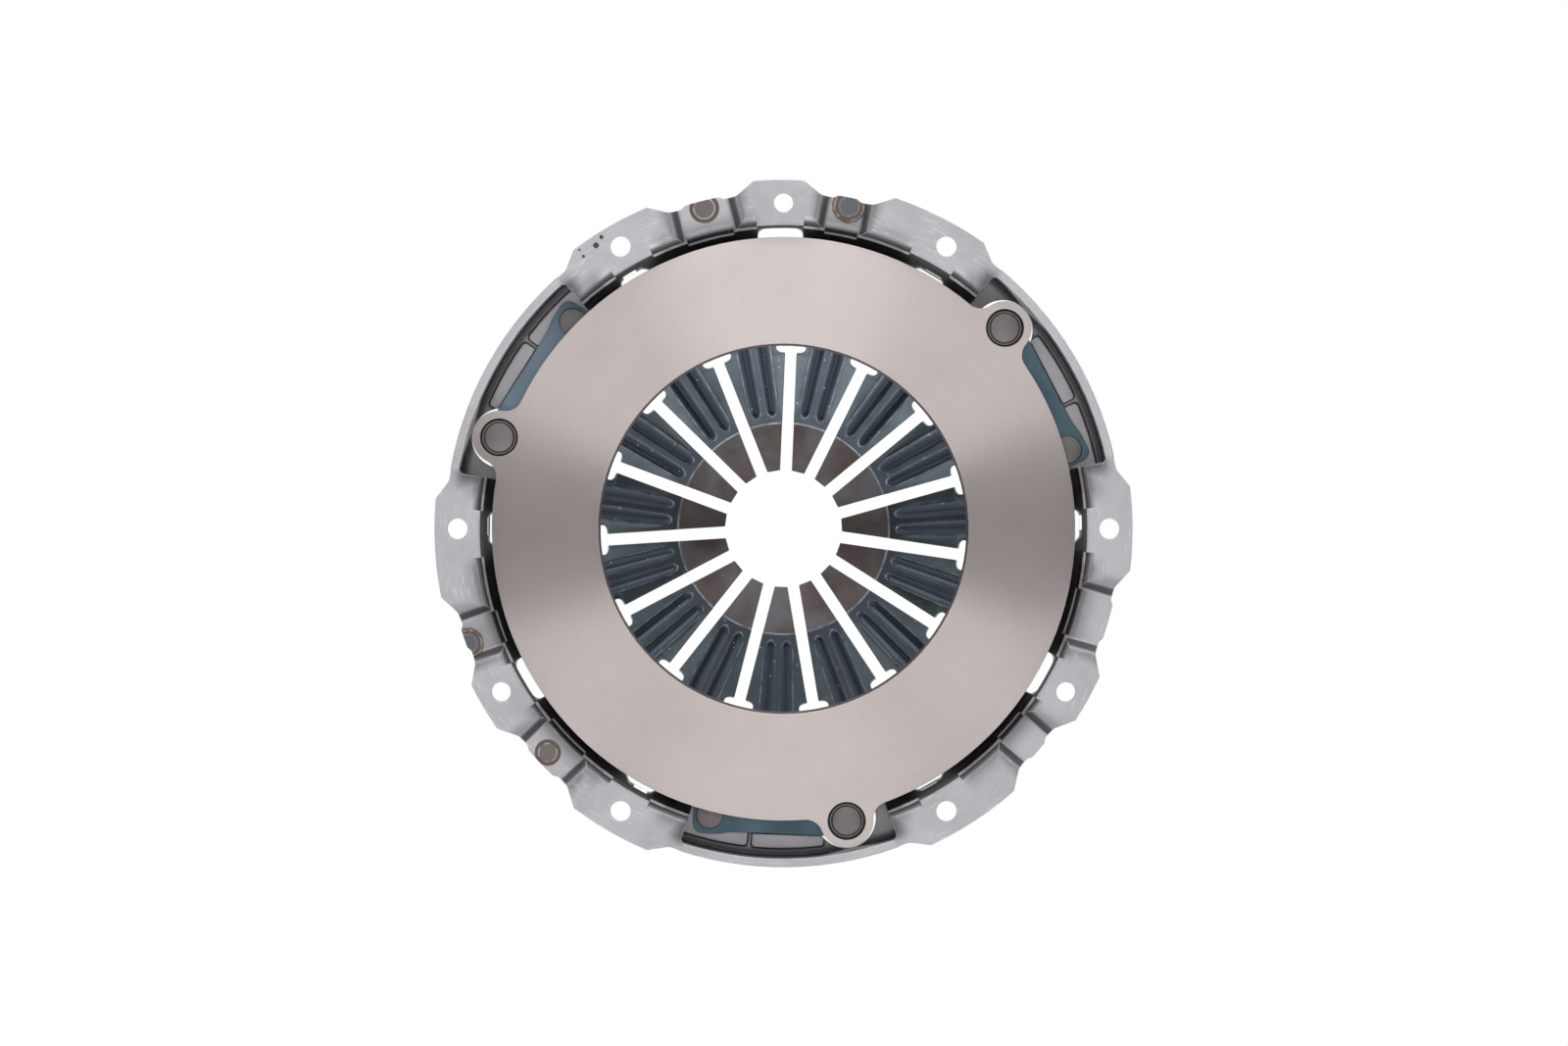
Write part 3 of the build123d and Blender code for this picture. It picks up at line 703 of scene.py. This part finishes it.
# %% Hand out the finishes
for part in frame["record"]["subparts"]:
    for slot in frame["nodes"][part["node"]].material_slots:
        slot.material = STEEL[part["material_slot"]]
for slot in frame["nodes"]["balance_rivets"].material_slots:
    slot.material = FLUSH_RIVET

# %% [markdown]
# ## From a flat grid to a piece
# Fingers, straps and rivets repeat round the clutch, and each has a shape that follows a rule. They
# could be drawn once by hand and copied, but a change of size would then mean drawing again.
# Geometry Nodes keep the rule. A sheet starts as a flat grid of side 1, and formulas move its points
# to their place. It then gets a thickness and bevelled edges, and becomes a plain mesh, because a
# moving body takes finished meshes only.

# %% Trees that start from a grid
def grid_tree(name, sizes, columns, rows):
    """A tree with named sizes and a grid; along it runs 0 to 1, and across it -1 to 1."""
    tree = bpy.data.node_groups.new(name, "GeometryNodeTree")
    add_socket(tree, "Geometry", "NodeSocketGeometry", "OUTPUT")
    for label, default in sizes.items():
        add_socket(tree, label, FLOAT, default=default)
    given = tree.nodes.new("NodeGroupInput").outputs
    grid = tree.nodes.new("GeometryNodeMeshGrid")
    for label, amount in (("Size X", 1), ("Size Y", 1), ("Vertices X", columns), ("Vertices Y", rows)):
        grid.inputs[label].default_value = amount
    split = tree.nodes.new("ShaderNodeSeparateXYZ")
    feed(tree, tree.nodes.new("GeometryNodeInputPosition").outputs[0], split.inputs[0])
    along = Value(tree, split.outputs[0]) + 0.5
    across = Value(tree, split.outputs[1]) * 2.0
    return tree, grid, {label: Value(tree, given[label]) for label in sizes}, along, across


def finish_tree(tree, geometry, material):
    """Make the result real geometry with its material."""
    real = tree.nodes.new("GeometryNodeRealizeInstances")
    feed(tree, geometry, real.inputs[0])
    paint = tree.nodes.new("GeometryNodeSetMaterial")
    paint.inputs["Material"].default_value = material
    feed(tree, real.outputs[0], paint.inputs["Geometry"])
    feed(tree, paint.outputs[0], tree.nodes.new("NodeGroupOutput").inputs[0])


def lay_grid(tree, grid, x, depth, z, turn, material):
    """Move the grid's points to x, depth and z, then turn them round the clutch axis."""
    turn = turn * (pi / 180)
    c, s = turn.cos(), turn.sin()
    to = tree.nodes.new("ShaderNodeCombineXYZ")
    feed(tree, (x * c - z * s) * MM, to.inputs[0])
    feed(tree, depth * MM, to.inputs[1])
    feed(tree, (x * s + z * c) * MM, to.inputs[2])
    move = tree.nodes.new("GeometryNodeSetPosition")
    feed(tree, grid.outputs["Mesh"], move.inputs["Geometry"])
    feed(tree, to.outputs[0], move.inputs["Position"])
    finish_tree(tree, move.outputs[0], material)


print("every tree ends in Realize Instances and Set Material")

# %% From a tree to a plain mesh
SHARP_FROM, BEVEL_FROM = 42, 50     # degrees between two faces


def run_tree(tree, sizes, mesh=None):
    """An object that shows what the tree makes with these sizes."""
    maker = bpy.data.objects.new("maker", mesh or bpy.data.meshes.new("maker"))
    bpy.context.scene.collection.objects.link(maker)
    shape = maker.modifiers.new("shape", "NODES")
    shape.node_group = tree
    identifiers = {s.name: s.identifier for s in tree.interface.items_tree if s.in_out == "INPUT"}
    for label, amount in sizes.items():
        shape[identifiers[label]] = amount
    return maker


def thicken(maker, thickness, edge_width, segments):
    """Give a sheet its thickness, half to each side, and bevel its edges."""
    thick = maker.modifiers.new("thick", "SOLIDIFY")
    thick.thickness = thickness * MM
    thick.offset = 0.0
    edge = maker.modifiers.new("edge", "BEVEL")
    edge.width = edge_width * MM
    edge.segments = segments
    edge.limit_method = "ANGLE"
    edge.angle_limit = radians(BEVEL_FROM)


def to_mesh(maker, name):
    """What the object shows, as a plain mesh piece at the origin."""
    bpy.context.view_layer.update()
    graph = bpy.context.evaluated_depsgraph_get()
    mesh = bpy.data.meshes.new_from_object(maker.evaluated_get(graph), depsgraph=graph)
    mesh.name = name
    for polygon in mesh.polygons:
        polygon.use_smooth = True
    mesh.set_sharp_from_angle(angle=radians(SHARP_FROM))
    piece = bpy.data.objects.new(name, mesh)
    bpy.context.scene.collection.objects.link(piece)
    bpy.data.objects.remove(maker)
    return piece


print("a piece goes through run_tree, thicken and to_mesh")

# %% [markdown]
# ## Spring fingers
# The real spring is one steel disc, slotted into fingers. Outside the slots it is a shallow cone.
# Each finger slopes down from it, has two pressed grooves that stiffen it, and ends in a flat tip
# where the release bearing presses. A slot ends in a wider eye that keeps it from cracking. One
# finger could be sculpted and copied. All of its forms follow the radius and the distance from the
# middle line, so formulas on a grid give it cleanly, and every size stays a named input.

# %% Outline of a finger
FINGER_SIZES = {
    "Turn": 0.0, "Rim radius": 111.0, "Tip radius": 24.8, "Tip bend radius": TIP_BEND,
    "Root radius": 80.0, "Pivot radius": 91.0, "Pivot depth": 32.186, "Slot": 5.0,
    "Eye width": 12.7, "Eye start": 73.3, "Eye end": 89.3, "Groove depth": 0.8,
    "Rib": RIB, "Groove floor": GROOVE_FLOOR, "Groove wall": GROOVE_WALL,
    "Groove out": GROOVE_OUT, "Groove end": GROOVE_END, "Flank fall": 0.25,
}
EYE_CORNER, HAIR_LINE = 3.0, 0.15       # rounding of an eye, and half the gap where the disc is whole


def finger_half_width(v, r):
    """Half a finger's width: its share of the disc, less half of the slot or the eye."""
    corner = ((r - v["Eye start"]) / EYE_CORNER).clamp()
    opened = (1.0 - (1.0 - corner) * (1.0 - corner)).root()
    closed = (r - v["Eye end"]).ramp(-1.2, 0.0)
    gap = v["Slot"] * 0.5 + opened * (v["Eye width"] - v["Slot"]) * 0.5
    gap = gap * (1.0 - closed) + closed * HAIR_LINE
    half = radians(PITCH / 2)
    return r * tan(half) - gap / cos(half)


print("a finger runs from", FINGER_SIZES["Tip radius"], "to", FINGER_SIZES["Rim radius"], "mm")

# %% Slopes and grooves of a finger
SLOPE_TIP, SLOPE_FINGER, SLOPE_CONE = (tan(radians(angle)) for angle in (3.5, 17.0, 13.0))


def kink(x, soft):
    """0 below zero and x above it, with a soft corner."""
    return (x + (x * x + soft * soft).root()) * 0.5


def finger_slope(v, r):
    """Depth of the finger's middle line, which passes the pivot ring at the pivot depth."""
    fall = kink(r - v["Tip bend radius"], 0.5) * (SLOPE_FINGER - SLOPE_TIP)
    fall = fall + (r - v["Tip radius"]) * SLOPE_TIP
    fall = fall + kink(r - v["Root radius"], 3.0) * (SLOPE_CONE - SLOPE_FINGER)
    start = (v["Root radius"] - v["Tip bend radius"]) * SLOPE_FINGER
    start = start + (v["Tip bend radius"] - v["Tip radius"]) * SLOPE_TIP
    start = start + (v["Pivot radius"] - v["Root radius"]) * SLOPE_CONE
    return v["Pivot depth"] + start - fall


def press_grooves(v, depth, r, side, width):
    """The depth after pressing: two grooves, a raised lip round them, and fallen flanks."""
    off = across_finger(side, r)
    past_end = r - groove_end(off, v["Groove end"])
    dip = off.ramp(v["Rib"], v["Groove floor"]) * (1.0 - off.ramp(v["Groove wall"], v["Groove out"]))
    dip = dip * past_end.ramp(0.0, 2.6) * (1.0 - r.ramp(84, 88))
    crest = 1.0 - ((off - v["Groove out"] - 0.3) / 1.2).abs().clamp()
    lip = crest * crest * 0.12 * past_end.ramp(1.0, 4.0)
    flank = (off / width.max(1.0)).ramp(0.5, 1.0) * (r.ramp(46.0, 56.0) * (1.0 - r.ramp(78, 86)))
    return depth + dip * v["Groove depth"] - lip + flank * v["Flank fall"]


print("slopes:", [round(slope, 3) for slope in (SLOPE_TIP, SLOPE_FINGER, SLOPE_CONE)])

# %% The finger's tree
def finger_tree():
    tree, grid, v, along, across = grid_tree("Spring finger", FINGER_SIZES, 190, 45)
    r = v["Tip radius"] + along * (v["Rim radius"] - v["Tip radius"])
    width = finger_half_width(v, r)
    side = across * width
    depth = press_grooves(v, finger_slope(v, r), r, side, width)
    lay_grid(tree, grid, r, depth, side, v["Turn"], STEEL["spring_steel"])
    return tree


FINGER = finger_tree()
print("nodes in the finger's tree:", len(FINGER.nodes))

# %% Fifteen fingers, each on its own body
SPRING_SHEET = 2.7
for k in range(FINGERS):
    node = f"spring_finger_{k + 1:02d}"
    maker = run_tree(FINGER, {"Turn": FIRST_FINGER + PITCH * k})
    thicken(maker, SPRING_SHEET, 0.22, 2)
    piece = to_mesh(maker, f"finger_{k + 1:02d}")
    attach(piece, node + "_body")
    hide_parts(node)
print("fingers:", FINGERS, "faces each:", len(piece.data.polygons))

# %% [markdown]
# ## Drive straps
# Three packs of thin leaves carry the torque from the cover to the plate and still let the plate
# slide. A leaf lies flat where it is riveted and bends in an S between its rivets. Each leaf is
# made here in that shape and stays fixed in place, so it does not bend as the plate slides.

# %% Sizes of a strap
SIDES, LEAVES = 3, 3
COVER_RIVET = (123.3, POCKET - 15.5)    # radius and angle
LUG_RIVET = (124.1, POCKET + 11.2)
PACK_SEAT, PACK_LUG = 15.65, 13.05      # front of a pack at its two ends
LEAF, STRAP_SHEET = 0.8, 0.74           # pitch of the leaves, and the same less a hair line
REACH, EYE_HALF, WAIST_HALF, CORNER = 6.8, 7.8, 7.0, 4.0
SEAT_RUN, LUG_RUN = 17.7, 12.1          # flat lengths at the two ends
FREE = (polar(*LUG_RIVET) - polar(*COVER_RIVET)).length / MM
print("from rivet to rivet:", round(FREE, 2), "mm")

# %% The leaf's tree
def strap_tree():
    sizes = {"Turn": 0.0, "Front at seat": PACK_SEAT, "Front at lug": PACK_LUG}
    tree, grid, v, along, across = grid_tree("Strap leaf", sizes, 110, 13)
    even = along * 0.8 + along.ramp(0.0, 1.0) * 0.2     # a little closer together at the rounded ends
    first = polar(*COVER_RIVET) / MM
    way = (polar(*LUG_RIVET) / MM - first) / FREE
    s = even * (FREE + 2 * REACH) - REACH
    from_end = (s + REACH).min(FREE + REACH - s)
    short = (CORNER - from_end).max(0.0)
    half = (CORNER * CORNER - short * short).max(0.0).root() + (EYE_HALF - CORNER)
    half = half - from_end.ramp(2 * REACH - 4.0, 2 * REACH + 3.0) * (EYE_HALF - WAIST_HALF)
    side = across * half
    bend = s.ramp(SEAT_RUN, FREE - LUG_RUN)
    depth = v["Front at seat"] * (1.0 - bend) + v["Front at lug"] * bend + LEAF / 2
    x = s * way.x - side * way.z + first.x
    z = s * way.z + side * way.x + first.z
    lay_grid(tree, grid, x, depth, z, v["Turn"], STEEL["strap_steel"])
    return tree


STRAP = strap_tree()
print("nodes in the strap's tree:", len(STRAP.nodes))

# %% Three packs of three leaves
def chord_point(turn, run_from_seat):
    """A place on the line between the two rivets of the pack at this turn."""
    first = polar(COVER_RIVET[0], COVER_RIVET[1] + turn, PACK_SEAT)
    last = polar(LUG_RIVET[0], LUG_RIVET[1] + turn, PACK_SEAT)
    return first + (last - first).normalized() * run_from_seat * MM


for k in range(SIDES):
    turn = 360 / SIDES * k
    for layer in range(LEAVES):
        fronts = {"Front at seat": PACK_SEAT + LEAF * layer, "Front at lug": PACK_LUG + LEAF * layer}
        maker = run_tree(STRAP, {"Turn": turn, **fronts})
        thicken(maker, STRAP_SHEET, 0.12, 1)
        piece = to_mesh(maker, f"strap_{k + 1}_leaf_{layer + 1}")
        start, stop = chord_point(turn, SEAT_RUN), chord_point(turn, FREE - LUG_RUN)
        tuple(start)
        tuple(stop)
        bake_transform(piece)
        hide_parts(f"drive_strap_{k + 1}_leaf_{layer + 1}")
print("strap leaves:", SIDES * LEAVES, "faces each:", len(piece.data.polygons))

# %% [markdown]
# ## Rivets round the clutch
# Rivets hold the straps to the cover and to the plate, and the wire rings to the cover's roof. A
# rivet is round, so its mesh is one profile turned about its own axis, as on a lathe: pairs of
# radius and depth, from the front of the head to the back of the tail. Copies could be placed one by
# one. A tree that sets one on each point of a ring needs only a count, a radius and an angle.

# %% Turned profiles
def lathe(name, profile, steps=48):
    points, rows, faces = [], [], []
    for r, depth in profile:
        count = steps if r else 1
        rows.append([len(points) + k for k in range(count)])
        points += [tuple(polar(r, 360 * k / steps, depth)) for k in range(count)]
    for a, b in zip(rows, rows[1:]):
        for k in range(steps):
            n = (k + 1) % steps
            corners = (b[k % len(b)], b[n % len(b)], a[n % len(a)], a[k % len(a)])
            faces.append(tuple(dict.fromkeys(corners)))
    mesh = bpy.data.meshes.new(name)
    mesh.from_pydata(points, [], faces)
    return mesh


def dome(radius, base, rise, flat=0.35, steps=6):
    """A rounded head or tail, from its rim at depth base to its middle."""
    side = base + rise * flat
    turns = [pi / 2 * n / steps for n in range(1, steps)]
    arc = [(radius * cos(turn), side + (base + rise - side) * sin(turn)) for turn in turns]
    return [(radius, base), (radius, side), *arc, (0, base + rise)]


print("points in the profile of a dome:", len(dome(5.0, 0.0, 2.0)))

# %% A ring of copies
def ring_tree():
    tree = bpy.data.node_groups.new("Ring of copies", "GeometryNodeTree")
    add_socket(tree, "Geometry", "NodeSocketGeometry", "OUTPUT")
    add_socket(tree, "Geometry", "NodeSocketGeometry")
    add_socket(tree, "Count", "NodeSocketInt", default=3)
    add_socket(tree, "Radius", FLOAT, default=100.0)
    add_socket(tree, "First angle", FLOAT, default=0.0)
    given = tree.nodes.new("NodeGroupInput").outputs
    count, radius, first = (Value(tree, given[n]) for n in ("Count", "Radius", "First angle"))
    index = Value(tree, tree.nodes.new("GeometryNodeInputIndex").outputs[0])
    angle = (index * 360.0 / count + first) * (pi / 180)
    at = tree.nodes.new("ShaderNodeCombineXYZ")
    feed(tree, angle.cos() * radius * MM, at.inputs[0])
    feed(tree, angle.sin() * radius * MM, at.inputs[2])
    points = tree.nodes.new("GeometryNodePoints")
    feed(tree, count, points.inputs["Count"])
    feed(tree, at.outputs[0], points.inputs["Position"])
    copies = tree.nodes.new("GeometryNodeInstanceOnPoints")
    feed(tree, points.outputs[0], copies.inputs["Points"])
    feed(tree, given["Geometry"], copies.inputs["Instance"])
    finish_tree(tree, copies.outputs[0], STEEL["rivet_steel"])
    return tree


RING = ring_tree()
print("nodes in the ring's tree:", len(RING.nodes))

# %% Profiles of the rivets
TAIL_LUG, TAIL_COVER = PACK_LUG + LEAVES * LEAF + 0.05, 21.65
HEAD_FRONT, ROOF_BACK = 23.3, 41.67
COVER_PROFILE = [
    (0, 13.45), (5.3, 13.45), (5.6, 13.55), (5.75, 13.8), (5.75, PACK_SEAT), (3.0, PACK_SEAT),
    (3.0, TAIL_COVER), *dome(5.75, TAIL_COVER, 2.2),
]
LUG_PROFILE = [
    (0, 6.0), (5.7, 6.0), (5.95, 6.1), (6.05, 6.3), (6.15, 7.2), (6.35, 7.25), (6.5, 6.85), (7.1, 6.85),
    (7.35, 7.2), (7.35, 8.5), (4.0, 8.6), (4.0, TAIL_LUG), *dome(6.3, TAIL_LUG, 2.2),
]
PIVOT_PROFILE = [
    (0, HEAD_FRONT), (4.6, HEAD_FRONT), (5.2, HEAD_FRONT + 0.2), (5.5, HEAD_FRONT + 0.7),
    (5.5, HEAD_FRONT + 3.0), (2.7, HEAD_FRONT + 3.0), (2.7, ROOF_BACK), *dome(5.0, ROOF_BACK, 3.0, 0.3),
]
print("profile points:", len(COVER_PROFILE), len(LUG_PROFILE), len(PIVOT_PROFILE))

# %% Three kinds of rivet
PIVOT_RIVET = (86.0, FIRST_FINGER + PITCH / 2)      # between two fingers
RIVETS = {
    "strap_lug_rivets": (PLATE, SIDES, LUG_RIVET, LUG_PROFILE),
    "strap_cover_rivets": (ROOT, SIDES, COVER_RIVET, COVER_PROFILE),
    "pivot_rivets": (ROOT, FINGERS, PIVOT_RIVET, PIVOT_PROFILE),
}
for node, (body, count, (r, first), profile) in RIVETS.items():
    maker = run_tree(RING, {"Count": count, "Radius": r, "First angle": first}, lathe("rivet", profile))
    piece = to_mesh(maker, node + "_turned")
    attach(piece, body)
    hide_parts(node)
print("rivets:", {node: entry[1] for node, entry in RIVETS.items()})

# %% [markdown]
# ## Floor and cards
# A brushed disc mirrors what lies along each radius: its top and bottom show what is above and
# below it, and its sides show what is beside it. In an evenly white studio it would be flat white
# all round. Lamps could add contrast, but cards give wider, calmer wedges. Two dark ones stand
# beside the camera, narrow near it and wider away from it, and a grey one above keeps the top of the
# disc from burning out. The camera doesn't see the cards, and they cast no shadow.

# %% Cards and floor
def plain(name, color, rough=0.9):
    material = bpy.data.materials.new(name)
    material.use_nodes = True
    shader = material.node_tree.nodes["Principled BSDF"]
    shader.inputs["Base Color"].default_value = (*color, 1)
    shader.inputs["Roughness"].default_value = rough
    return material


def panel(name, width, height, place, aim, material):
    """A flat rectangle that faces the place it aims at."""
    mesh = bpy.data.meshes.new(name)
    w, h = width / 2, height / 2
    mesh.from_pydata([(-w, -h, 0), (w, -h, 0), (w, h, 0), (-w, h, 0)], [], [(0, 1, 2, 3)])
    mesh.materials.append(material)
    obj = bpy.data.objects.new(name, mesh)
    obj.location = place
    obj.rotation_euler = (Vector(aim) - Vector(place)).to_track_quat("Z", "Y").to_euler()
    bpy.context.scene.collection.objects.link(obj)
    return obj


def hide_from_camera(card):
    card.visible_camera = False
    card.visible_shadow = False


CARD_OUT, CARD_BACK, CARD_UP = 1.72, -1.9, 1.5      # to the side, behind the camera, and above it
CARD_NEAR, CARD_FAR = 0.17, 1.1                     # half a side card's height at its two ends
panel("floor", 1.1, 1.1, (0, 0, -0.30), (0, 0, 1), plain("Floor", (0.82, 0.82, 0.82)))
dark = plain("Dark card", (0.022, 0.012, 0.012))
for side in (-1, 1):
    card = panel(f"card_{side}", 2.6, 1.0, (side * CARD_OUT, CARD_BACK, 0), (side * CARD_OUT, 0, 0), dark)
    for corner in card.data.vertices:
        half = CARD_NEAR if corner.co.x * side > 0 else CARD_FAR
        corner.co.y = half if corner.co.y > 0 else -half
    hide_from_camera(card)
grey = plain("Grey card", (0.40, 0.40, 0.40))
hide_from_camera(panel("card_above", 3.4, 1.5, (0, CARD_BACK, CARD_UP), (0, 0, CARD_UP), grey))
print("cards: two dark ones at the sides and a grey one above")

# %% [markdown]
# ## Light and camera
# The world is plain white and gives most of the light, as a light tent round a product does. Two
# weak lamps, above and below, add some form. The camera stands straight in front, a hair above the
# clutch axis. It has a long lens, so that the flange hides little of what lies behind it.

# %% World, lamps and camera
world = bpy.data.worlds.new("Studio")
bpy.context.scene.world = world
world.use_nodes = True
background = world.node_tree.nodes["Background"]
background.inputs["Color"].default_value = (1, 1, 1, 1)
background.inputs["Strength"].default_value = 1.0


def lamp(name, place, width, height, power):
    data = bpy.data.lights.new(name, "AREA")
    data.shape = "RECTANGLE"
    data.size, data.size_y, data.energy = width, height, power
    obj = bpy.data.objects.new(name, data)
    obj.location = place
    obj.rotation_euler = (-Vector(place)).to_track_quat("-Z", "Y").to_euler()
    bpy.context.scene.collection.objects.link(obj)


lamp("top", (0, -1.0, 1.5), 1.4, 0.8, 5)
lamp("bottom", (0, -1.3, -1.0), 1.2, 0.6, 7)

camera = bpy.data.objects.new("camera", bpy.data.cameras.new("camera"))
camera.data.sensor_width = 36
camera.data.lens = 94.3
camera.location = (0.0002, -1.7, 0.0024)
camera.rotation_euler = (pi / 2, 0, 0)
bpy.context.scene.collection.objects.link(camera)
bpy.context.scene.camera = camera
bpy.context.scene.view_settings.view_transform = "Standard"
print("camera and light ready")
